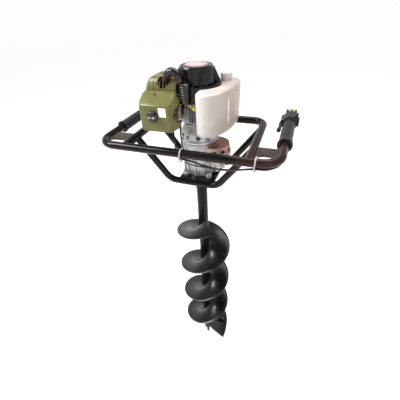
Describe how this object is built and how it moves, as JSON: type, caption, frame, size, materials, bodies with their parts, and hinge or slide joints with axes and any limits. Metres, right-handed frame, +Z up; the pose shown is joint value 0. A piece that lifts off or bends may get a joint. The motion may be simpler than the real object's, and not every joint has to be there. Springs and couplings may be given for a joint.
{
  "type": "petrol auger",
  "caption": "Hand-held petrol auger: bent-tube frame with throttle grip, two-stroke power head, reduction gearbox and a helical drilling bit.",
  "frame": {"origin": "tip of the pilot point on the drive axis", "axes": "+Z up along the drive axis, +X along the front bar to the throttle arm, +Y to the rear"},
  "size_m": [0.5355, 0.3581, 1.3472],
  "materials": {
    "frame_paint": "gloss black paint",
    "grip_rubber": "matt ribbed",
    "handle_plastic": "fine moulded texture",
    "zinc_steel": "zinc plated",
    "cable_black": "smooth sheath",
    "tie_nylon": "natural nylon",
    "cast_alloy": "shot-blasted casting",
    "bearing_steel": "ground",
    "cylinder_alloy": "die-cast",
    "coil_black": "potted",
    "olive_plastic": "satin moulded",
    "plug_ceramic": "glazed",
    "boot_rubber": "glossy rubber",
    "muffler_steel": "heat-resistant black",
    "black_plastic": "satin black",
    "carb_metal": "zinc die-cast",
    "filter_foam": "open foam",
    "tank_plastic": "translucent blow-moulded",
    "fuel_hose": "translucent yellow",
    "gear_steel": "machined",
    "bit_paint": "black powder coat",
    "blade_steel": "dark hardened plate with a ground edge",
    "shoe_metal": "sintered",
    "button_green": "moulded",
    "knob_plastic": "moulded",
    "cap_plastic": "moulded",
    "reel_plastic": "glass-filled nylon",
    "rope_nylon": "braided",
    "pull_plastic": "moulded"
  },
  "bodies": {
    "frame": {"handle_tube": "frame_paint", "inner_loop_tube": "frame_paint", "handle_braces": "frame_paint", "cradle_tube_front": "frame_paint", "cradle_tube_rear": "frame_paint", "base_plate": "frame_paint", "left_grip": "grip_rubber", "throttle_handle_upper": "handle_plastic", "throttle_handle_lower": "handle_plastic", "handle_screws": "zinc_steel", "gearbox_bolts": "zinc_steel", "throttle_cable": "cable_black", "stop_switch_lead": "cable_black", "cable_ties": "tie_nylon", "gearbox_case": "cast_alloy", "gearbox_cover": "cast_alloy", "bearing_plate": "cast_alloy", "clutch_housing": "cast_alloy", "crankcase": "cast_alloy", "ball_bearings": "bearing_steel", "engine_cylinder": "cylinder_alloy", "ignition_coil": "coil_black", "cylinder_cover": "olive_plastic", "air_box_cover": "olive_plastic", "spark_plug": "plug_ceramic", "plug_boot": "boot_rubber", "muffler": "muffler_steel", "intake_block": "black_plastic", "air_box_base": "black_plastic", "starter_cover": "black_plastic", "carburettor": "carb_metal", "air_filter": "filter_foam", "fuel_tank": "tank_plastic", "fuel_line": "fuel_hose"},
    "bit": {"output_shaft": "gear_steel", "output_gear": "gear_steel", "coupling_pin": "zinc_steel", "blade_bolts": "zinc_steel", "auger_tube": "bit_paint", "auger_flight": "bit_paint", "pilot_point": "bit_paint", "cutting_blade": "blade_steel"},
    "middle_gear": {"intermediate_gear": "gear_steel"},
    "drum": {"clutch_drum": "gear_steel"},
    "crank": {"crankshaft": "gear_steel", "clutch_shoes": "shoe_metal", "flywheel_fan": "cylinder_alloy"},
    "piston": {"piston": "cylinder_alloy", "wrist_pin": "gear_steel"},
    "rod": {"connecting_rod": "gear_steel", "crank_pin": "gear_steel"},
    "trigger": {"throttle_trigger": "handle_plastic"},
    "lock": {"trigger_lock": "handle_plastic"},
    "stop": {"stop_button": "button_green"},
    "choke": {"choke_lever": "black_plastic"},
    "knob": {"cover_knob": "knob_plastic"},
    "cap": {"fuel_cap": "cap_plastic"},
    "reel": {"starter_reel": "reel_plastic", "starter_rope": "rope_nylon"},
    "handle": {"starter_handle": "pull_plastic"}
  },
  "joints": [
    {"name": "bit_spin", "type": "hinge", "parent": "frame", "child": "bit", "pos_m": [0, 0, 1.004], "axis": [0, 0, 1], "continuous": true},
    {"name": "middle_gear_spin", "type": "hinge", "parent": "frame", "child": "middle_gear", "pos_m": [0.045, 0, 1.1], "axis": [0, 0, 1], "continuous": true},
    {"name": "drum_spin", "type": "hinge", "parent": "frame", "child": "drum", "pos_m": [0, 0, 1.14], "axis": [0, 0, 1], "continuous": true},
    {"name": "crank_spin", "type": "hinge", "parent": "frame", "child": "crank", "pos_m": [0, 0, 1.23], "axis": [0, 0, 1], "continuous": true},
    {"name": "piston_stroke", "type": "slide", "parent": "frame", "child": "piston", "axis": [1, 0, 0], "range_m": [0, 0.032]},
    {"name": "rod_swing", "type": "hinge", "parent": "piston", "child": "rod", "pos_m": [-0.072, 0, 1.23], "axis": [0, 0, 1], "range_deg": [-16.6, 16.6]},
    {"name": "trigger_squeeze", "type": "hinge", "parent": "frame", "child": "trigger", "pos_m": [0.219, 0.131, 1.164], "axis": [0, 0, 1], "range_deg": [0, 8], "stiffness_Nm_per_rad": 0.4, "springref_deg": -5.73},
    {"name": "lock_press", "type": "hinge", "parent": "frame", "child": "lock", "pos_m": [0.259, 0.143, 1.171], "axis": [1, 0, 0], "range_deg": [-12, 0], "stiffness_Nm_per_rad": 0.2, "springref_deg": 5.73},
    {"name": "stop_press", "type": "slide", "parent": "frame", "child": "stop", "axis": [0, 0, -1], "range_m": [0, 0.003], "stiffness_N_per_m": 300, "springref_m": -0.001},
    {"name": "choke_turn", "type": "hinge", "parent": "frame", "child": "choke", "pos_m": [-0.021, -0.06, 1.24], "axis": [1, 0, 0], "range_deg": [0, 60]},
    {"name": "knob_turn", "type": "hinge", "parent": "frame", "child": "knob", "pos_m": [-0.076, -0.122, 1.247], "axis": [0, -1, 0], "range_deg": [0, 720]},
    {"name": "cap_turn", "type": "hinge", "parent": "frame", "child": "cap", "pos_m": [0.066, 0.045, 1.31], "axis": [0, 0, 1], "range_deg": [0, 540]},
    {"name": "rope_pull", "type": "slide", "parent": "frame", "child": "handle", "axis": [0, -1, 0], "range_m": [0, 0.5], "stiffness_N_per_m": 12, "springref_m": -0.12},
    {"name": "reel_spin", "type": "hinge", "parent": "frame", "child": "reel", "pos_m": [0, 0, 1.31], "axis": [0, 0, 1], "range_deg": [0, 900]}
  ],
  "couplings": [
    {"joint": "middle_gear_spin", "follows": "bit_spin", "ratio": -5},
    {"joint": "drum_spin", "follows": "bit_spin", "ratio": 27.727},
    {"joint": "reel_spin", "follows": "rope_pull", "rad_per_m": 31.25}
  ]
}
